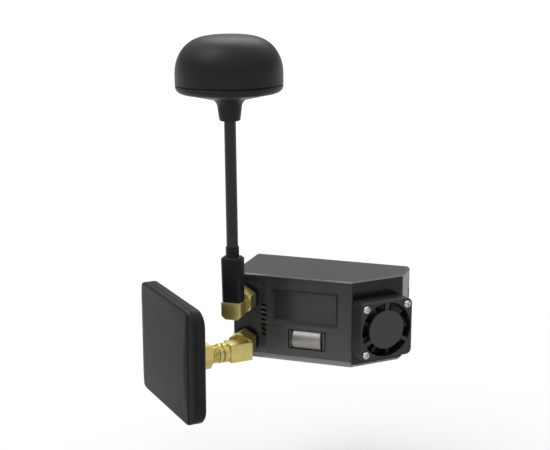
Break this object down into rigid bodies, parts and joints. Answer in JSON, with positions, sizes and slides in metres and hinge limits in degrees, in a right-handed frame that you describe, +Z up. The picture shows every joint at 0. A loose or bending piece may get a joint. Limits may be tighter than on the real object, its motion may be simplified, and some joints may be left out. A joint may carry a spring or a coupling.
{
  "type": "video receiver module",
  "caption": "Plug-in video receiver module with a smoked case, display window, press roller, corner fan, omnidirectional antenna and patch antenna on threaded coaxial jacks.",
  "frame": {"origin": "centre of the case's flat rear face", "axes": "+Y out of the rear face, into the bay that the module plugs into; the display looks along -Y; +Z up, along the omni antenna's stem"},
  "size_m": [0.0904, 0.0727, 0.1228],
  "materials": {
    "case_plastic": "gloss",
    "black_plastic": "satin",
    "inner_plastic": "matte",
    "white_plastic": "matte",
    "board": "satin",
    "display_glass": "gloss",
    "roller_metal": "satin",
    "steel": "satin",
    "black_metal": "satin",
    "magnet": "matte",
    "copper": "satin",
    "gold": "satin"
  },
  "bodies": {
    "housing": {"front_housing": "case_plastic", "rear_cover": "case_plastic", "front_board": "board", "display_panel": "display_glass", "front_board_screws": "steel", "roller_base": "inner_plastic", "roller_switch": "steel", "fan_frame": "black_plastic", "fan_bearing": "copper", "fan_stator": "copper", "fan_screws": "steel", "upper_jack": "gold", "lower_jack": "gold", "jack_insulators": "white_plastic", "jack_contacts": "gold", "jack_washers": "inner_plastic", "jack_nuts": "black_metal", "rf_board": "board", "receiver_cans": "steel", "main_board": "board", "main_board_screws": "steel", "pin_sockets": "inner_plastic", "logic_chips": "inner_plastic", "ribbon": "white_plastic", "ribbon_sockets": "white_plastic"},
    "fan": {"fan_rotor": "black_plastic", "fan_magnet": "magnet", "fan_shaft": "steel"},
    "yoke": {"roller_yoke": "case_plastic", "roller_axle": "steel", "switch_plunger": "white_plastic"},
    "roller": {"roller": "roller_metal"},
    "omni": {"omni_elbow": "gold", "omni_insulator": "white_plastic", "omni_pin": "gold", "omni_boot": "black_plastic", "omni_stem": "black_plastic", "omni_base": "black_plastic", "omni_dome": "black_plastic", "omni_lobes": "copper"},
    "omni_nut": {"omni_nut": "gold"},
    "adapter": {"adapter_body": "gold", "adapter_insulator": "white_plastic", "adapter_contact": "gold"},
    "adapter_nut": {"adapter_nut": "gold"},
    "patch": {"patch_front": "black_plastic", "patch_back": "black_plastic", "patch_ground": "board", "patch_plate": "copper", "patch_spacers": "white_plastic", "patch_plug": "gold", "patch_insulator": "white_plastic", "patch_pin": "gold"},
    "patch_nut": {"patch_nut": "gold"}
  },
  "joints": [
    {"name": "fan_spin", "type": "hinge", "parent": "housing", "child": "fan", "pos_m": [0.02158, -0.01933, -0.0009], "axis": [0.7071, -0.7071, 0], "continuous": true},
    {"name": "roller_press", "type": "slide", "parent": "housing", "child": "yoke", "axis": [0, 1, 0], "range_m": [0, 0.0004], "stiffness_N_per_m": 800, "springref_m": -0.0008},
    {"name": "roller_turn", "type": "hinge", "parent": "yoke", "child": "roller", "pos_m": [-0.00145, -0.024, -0.0069], "axis": [1, 0, 0], "continuous": true},
    {"name": "omni_swivel", "type": "hinge", "parent": "housing", "child": "omni", "pos_m": [-0.02355, -0.0313, 0.0066], "axis": [0, 1, 0], "range_deg": [-60, 120]},
    {"name": "omni_nut_turn", "type": "hinge", "parent": "omni", "child": "omni_nut", "pos_m": [-0.02355, -0.0313, 0.0066], "axis": [0, 1, 0], "continuous": true},
    {"name": "adapter_swivel", "type": "hinge", "parent": "housing", "child": "adapter", "pos_m": [-0.02355, -0.0313, -0.009], "axis": [0, 1, 0], "range_deg": [-90, 30]},
    {"name": "adapter_nut_turn", "type": "hinge", "parent": "adapter", "child": "adapter_nut", "pos_m": [-0.02355, -0.0313, -0.009], "axis": [0, 1, 0], "continuous": true},
    {"name": "patch_swivel", "type": "hinge", "parent": "adapter", "child": "patch", "pos_m": [-0.02355, -0.0389, -0.009], "axis": [-0.7071, -0.7071, 0], "continuous": true},
    {"name": "patch_nut_turn", "type": "hinge", "parent": "patch", "child": "patch_nut", "pos_m": [-0.02355, -0.0389, -0.009], "axis": [-0.7071, -0.7071, 0], "continuous": true}
  ]
}
